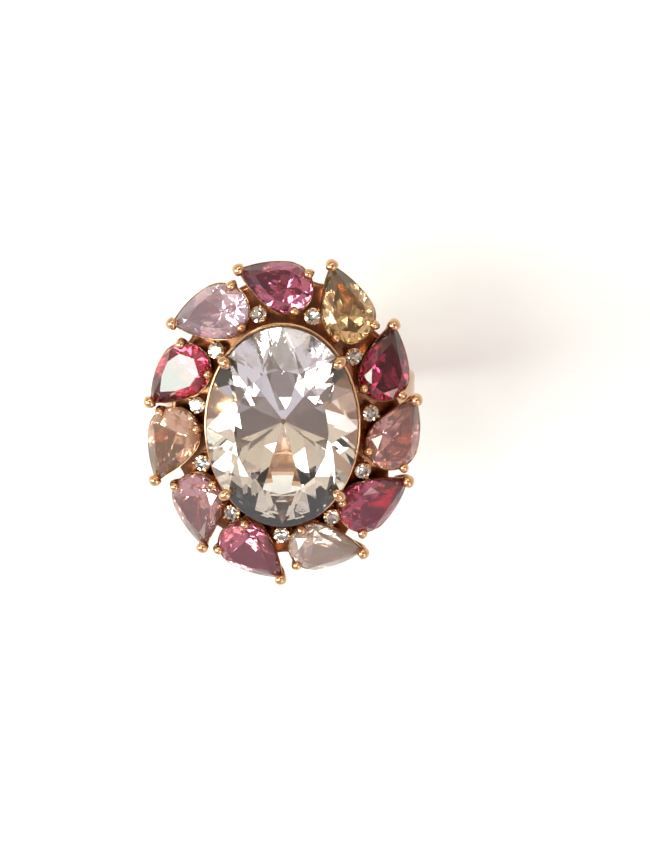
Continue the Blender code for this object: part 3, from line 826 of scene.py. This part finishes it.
# %% [markdown]
# ## The table it stands on
#
# The ring stands on white card: paper pulp pressed smooth, bright and without gloss, with a
# faint tooth from its fibres. It is several metres wide so that no edge of it shows from any
# side. Fibres are a few hundredths of a millimetre thick, and are drawn about 1 mm apart.

# %% Floor
FLOOR = 8.0
CARD = "#eaeaea"
FIBRES_PER_MM = 0.9
FIBRE_DEPTH = 0.02

card, tree, shader = new_material("white card", Base_Color=colour(CARD), Roughness=0.85)
place = add(tree, "ShaderNodeTexCoord")
fibres = add(
    tree, "ShaderNodeTexNoise", inputs={"Scale": FIBRES_PER_MM / MM, "Detail": 5.0},
    links={"Vector": place.outputs["Object"]},
)
tooth = add(
    tree, "ShaderNodeBump", inputs={"Strength": 0.15, "Distance": FIBRE_DEPTH * MM},
    links={"Height": fibres.outputs["Fac"]},
)
tree.links.new(tooth.outputs["Normal"], shader.inputs["Normal"])
corners = FLOOR / 2 * np.array([(-1, -1, 0), (1, -1, 0), (1, 1, 0), (-1, 1, 0)])
mesh = bpy.data.meshes.new("floor")
mesh.from_pydata(corners.tolist(), [], [(0, 1, 2, 3)])
mesh.materials.append(card)
floor = bpy.data.objects.new("floor", mesh)
bpy.context.scene.collection.objects.link(floor)
print("card:", FLOOR, "m wide")

# %% [markdown]
# ## The room
#
# Stones and polished metal show the room more than they show themselves. The walls are
# nearly white all round, so that most facets are bright. Overhead, where someone leans over
# the ring, it is dim and brownish, and that is what the dark patches of the centre stone
# mirror. One side of the room is a cool lavender and the other a warm cream, which gives the
# stone its two tones. The shade of a wall depends only on the direction in the room, so the
# reflections stay where they are from every side. Each shade goes with the height of its
# direction, from 0 on the level to 1 straight up.

# %% Room
WALLS = (
    (0.00, "#f3f3f3"), (0.45, "#f6f6f6"), (0.80, "#eeeded"), (0.93, "#9e938e"), (1.00, "#867b76"),
)
COOL_SIDE = "#ebe6f2"
WARM_SIDE = "#f6e6cc"

world = bpy.data.worlds.new("room")
bpy.context.scene.world = world
world.use_nodes = True
tree = world.node_tree
direction = add(tree, "ShaderNodeTexCoord")
across = add(tree, "ShaderNodeSeparateXYZ", links={"Vector": direction.outputs["Generated"]})
walls = add(tree, "ShaderNodeValToRGB", links={"Fac": across.outputs["Z"]})
stops = walls.color_ramp.elements
for _ in WALLS[2:]:
    stops.new(0.5)
for stop, (position, shade) in zip(stops, WALLS):
    stop.position = position
    stop.color = colour(shade)
side = add(
    tree, "ShaderNodeMapRange", inputs={"From Min": -0.5, "From Max": 0.5},
    links={"Value": across.outputs["Y"]},
)
paper = add(
    tree, "ShaderNodeMix", {"data_type": "RGBA"},
    inputs={"A": colour(COOL_SIDE), "B": colour(WARM_SIDE)},
    links={"Factor": side.outputs["Result"]},
)
room = add(
    tree, "ShaderNodeMix", {"data_type": "RGBA", "blend_type": "MULTIPLY"}, {"Factor": 1.0},
    links={"A": walls.outputs["Color"], "B": paper.outputs["Result"]},
)
tree.links.new(room.outputs["Result"], tree.nodes["Background"].inputs["Color"])
print("room shades from floor to ceiling:", [shade for _, shade in WALLS])

# %% [markdown]
# ## The lamps
#
# One tall window on the left gives the crisp white flashes and lies mirrored in the table of
# one pear. A weak warm light from the lower right fills the other side, and a plain one
# stands behind. Five small bright panels are there for the sparks: each is seen in a few
# facets only, as bulbs are in a shop.

# %% Lamps
HEAD = Vector((0.0, 0.0, 0.025))
SPARKS = ((125, 52, 0.22), (335, 56, 0.22), (343, 76, 0.09), (197, 76, 0.09), (270, 69, 0.09))


def softbox(name, azimuth, elevation, distance, size, power, tint):
    """Rectangular soft light aimed at the head of the ring; azimuth from +X, in degrees."""
    data = bpy.data.lights.new(name, "AREA")
    data.shape = "RECTANGLE"
    data.size, data.size_y = size
    data.energy = power
    data.color = colour(tint)[:3]
    lamp = bpy.data.objects.new(name, data)
    turn, lift = math.radians(azimuth), math.radians(elevation)
    flat = math.cos(lift)
    away = Vector((math.cos(turn) * flat, math.sin(turn) * flat, math.sin(lift)))
    lamp.location = HEAD + distance * away
    lamp.rotation_euler = (-away).to_track_quat("-Z", "Y").to_euler()
    bpy.context.scene.collection.objects.link(lamp)


softbox("window", 187, 42, 0.45, (0.15, 0.50), 2.7, "#ecfff4")
for azimuth, elevation, power in SPARKS:
    softbox(f"spark {azimuth}", azimuth, elevation, 0.50, (0.05, 0.05), power, "#ffffff")
softbox("fill", 310, 30, 0.50, (0.30, 0.16), 0.5, "#fff0dc")
softbox("back", 80, 40, 0.60, (0.30, 0.16), 0.4, "#ffffff")
print("lamps:", 3 + len(SPARKS))

# %% [markdown]
# ## The camera
#
# The ring is seen from almost straight above, leaning back by eleven degrees, through a long
# lens that keeps the cluster's proportions. The distance follows from the lens: the width
# that has to be seen, times the focal length, over the width of the sensor. The plain
# Standard view keeps the white card white.

# %% Camera
LENS = 90.0
SENSOR = 36.0
FIELD = 0.0683
AIM = Vector((0.0, 0.0, 0.0243))
LEAN = Euler((math.radians(-11.0), math.radians(2.0), 0.0))
SHIFT = (0.048, -0.014)

data = bpy.data.cameras.new("camera")
data.lens = LENS
data.sensor_width = SENSOR
data.clip_start = 0.01
data.shift_x, data.shift_y = SHIFT
camera = bpy.data.objects.new("camera", data)
camera.rotation_euler = LEAN
camera.location = AIM + LEAN.to_matrix() @ Vector((0.0, 0.0, FIELD * LENS / SENSOR))
bpy.context.scene.collection.objects.link(camera)
bpy.context.scene.camera = camera
bpy.context.scene.view_settings.view_transform = "Standard"
print("camera distance mm:", round(FIELD * LENS / SENSOR / MM, 1))
